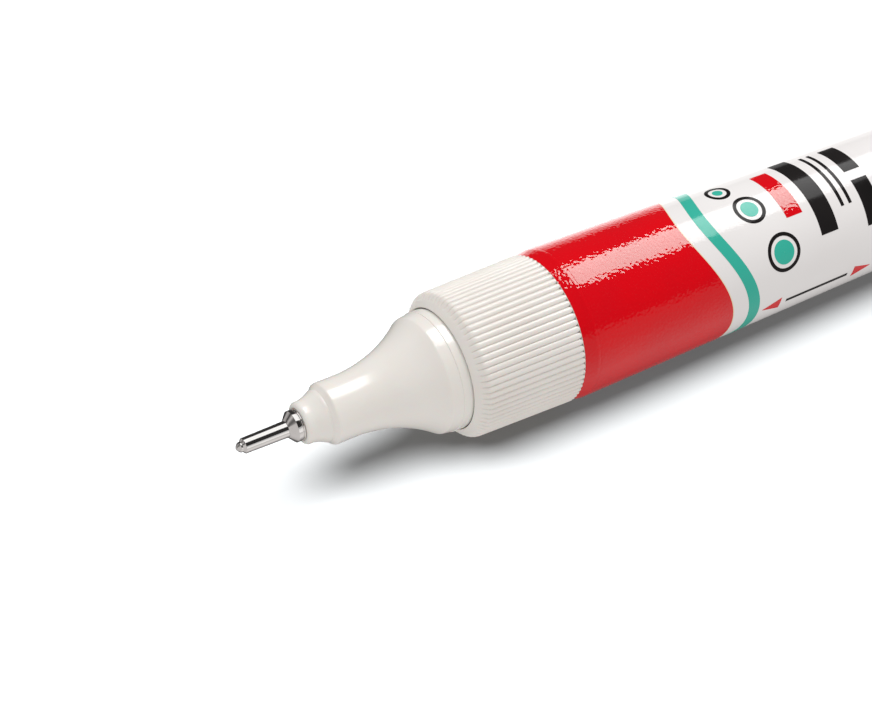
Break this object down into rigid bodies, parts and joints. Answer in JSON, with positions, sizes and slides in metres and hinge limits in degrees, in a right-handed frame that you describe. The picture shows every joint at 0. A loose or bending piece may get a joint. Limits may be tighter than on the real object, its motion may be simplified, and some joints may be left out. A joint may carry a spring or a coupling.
{
  "type": "correction pen",
  "caption": "Uncapped squeeze correction pen with a ribbed collar, tapered nose, spring loaded ball tip and a printed film sleeve.",
  "frame": {"origin": "centre of the flat rear end, on the surface the pen stands on", "axes": "+Z along the pen from the rear end to the writing tip; -Y is the side of the label that the picture shows"},
  "size_m": [0.0198, 0.0198, 0.1241],
  "materials": {
    "bottle": "satin natural plastic",
    "film": "glossy white shrink film",
    "red_ink": "glossy red print with a fine orange peel",
    "teal_ink": "glossy teal print",
    "dark_ink": "glossy black print",
    "collar": "satin ivory moulded plastic",
    "nose": "glossy warm white moulded plastic",
    "gasket": "soft grey rubber",
    "holder": "turned and nickel plated",
    "tube": "drawn and polished",
    "ball": "polished",
    "rod": "drawn wire with a turned head",
    "spring": "spring wire",
    "plug": "natural plastic",
    "mixer": "plain steel ball"
  },
  "bodies": {
    "body": {"bottle": "bottle", "label_film": "film", "red_print": "red_ink", "teal_print": "teal_ink", "dark_print": "dark_ink", "collar": "collar", "nose_cone": "nose", "neck_gasket": "gasket", "tip_holder": "holder", "tip_tube": "tube", "valve_spring": "spring", "spring_plug": "plug", "mixing_ball": "mixer"},
    "valve": {"valve_rod": "rod"},
    "ball": {"tip_ball": "ball"}
  },
  "joints": [
    {"name": "tip_press", "type": "slide", "parent": "body", "child": "valve", "axis": [0, 0, -1], "range_m": [0, 0.00035], "stiffness_N_per_m": 400, "springref_m": -0.0005, "deforming": ["valve_spring"]},
    {"name": "ball_roll", "type": "hinge", "parent": "valve", "child": "ball", "pos_m": [0, 0, 0.12361], "axis": [1, 0, 0], "continuous": true}
  ]
}
